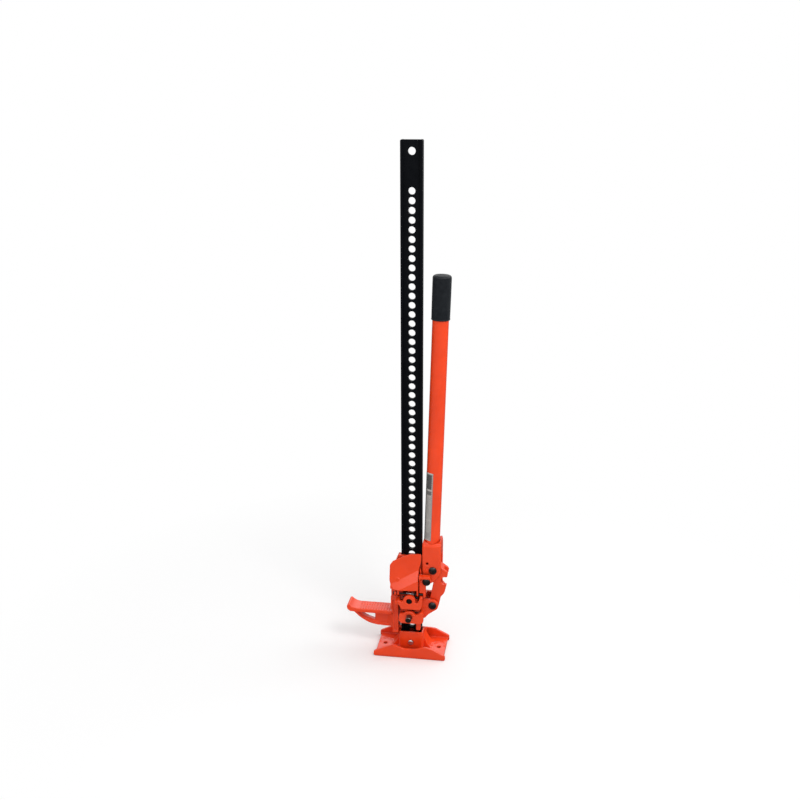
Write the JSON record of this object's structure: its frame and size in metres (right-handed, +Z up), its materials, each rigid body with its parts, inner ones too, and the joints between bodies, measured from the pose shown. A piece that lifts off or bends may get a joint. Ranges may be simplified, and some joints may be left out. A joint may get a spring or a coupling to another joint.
{
  "type": "high-lift rack jack",
  "caption": "Upright perforated rack bar on a foot, with two pin-climbing runners, a lifting nose, a reversing latch and a long pumping handle on a pitman link.",
  "frame": {"origin": "on the ground, under the centre line of the upright rack bar", "axes": "+Z up along the rack bar, +X towards the pumping handle, -X towards the lifting nose, rack holes run along Y and -Y is the front with the climbing pins"},
  "size_m": [0.2491, 0.1175, 1.227],
  "materials": {
    "painted_casting": "gloss",
    "painted_tube": "gloss",
    "black_bar": "satin",
    "black_hardware": "satin",
    "pin_steel": "satin",
    "bright_steel": "polished",
    "grip_rubber": "matte",
    "label_film": "satin"
  },
  "bodies": {
    "base": {"rack_bar": "black_bar", "base_plate": "painted_casting", "base_pin": "bright_steel", "base_pin_cotter": "bright_steel"},
    "small_runner_group": {"small_runner": "painted_casting", "pitman_lower_bolt": "black_hardware", "pitman_lower_nut": "black_hardware", "lower_pin_spring": "bright_steel"},
    "large_runner_group": {"large_runner": "painted_casting", "socket_pivot_bolt": "black_hardware", "socket_pivot_nut": "black_hardware", "latch_pin": "black_hardware", "latch_spring": "bright_steel", "upper_pin_spring": "bright_steel"},
    "handle_group": {"handle_socket": "painted_casting", "handle_tube": "painted_tube", "handle_grip": "grip_rubber", "handle_label": "label_film", "socket_pitman_bolt": "black_hardware", "socket_pitman_nut": "black_hardware"},
    "pitman_link": {"pitman": "painted_casting"},
    "upper_pin_group": {"upper_climbing_pin": "pin_steel", "upper_cross_pin": "black_hardware"},
    "lower_pin_group": {"lower_climbing_pin": "pin_steel", "lower_cross_pin": "black_hardware"},
    "latch_group": {"reversing_latch": "painted_casting"}
  },
  "joints": [
    {"name": "runner_lift", "type": "slide", "parent": "base", "child": "small_runner_group", "axis": [0, 0, 1], "range_m": [0, 0.84]},
    {"name": "large_runner_pump", "type": "slide", "parent": "small_runner_group", "child": "large_runner_group", "axis": [0, 0, 1], "range_m": [0, 0.04201]},
    {"name": "handle_pump", "type": "hinge", "parent": "large_runner_group", "child": "handle_group", "pos_m": [0.0399, 0, 0.2017], "axis": [0, 1, 0], "range_deg": [0, 98.48]},
    {"name": "pitman_swing", "type": "hinge", "parent": "small_runner_group", "child": "pitman_link", "pos_m": [0.0535, 0, 0.134], "axis": [0, 1, 0], "range_deg": [0, 5.69]},
    {"name": "upper_pin_slide", "type": "slide", "parent": "large_runner_group", "child": "upper_pin_group", "axis": [0, 1, 0], "range_m": [0, 0.0095]},
    {"name": "lower_pin_slide", "type": "slide", "parent": "small_runner_group", "child": "lower_pin_group", "axis": [0, 1, 0], "range_m": [0, 0.0095]},
    {"name": "latch_flip", "type": "hinge", "parent": "large_runner_group", "child": "latch_group", "pos_m": [0, -0.0345, 0.1663], "axis": [1, 0, 0], "range_deg": [0, 30]}
  ],
  "couplings": [
    {"joint": "large_runner_pump", "follows": "handle_pump", "m_per_rad": 0.024435},
    {"joint": "pitman_swing", "follows": "handle_pump", "ratio": 0.057737}
  ]
}
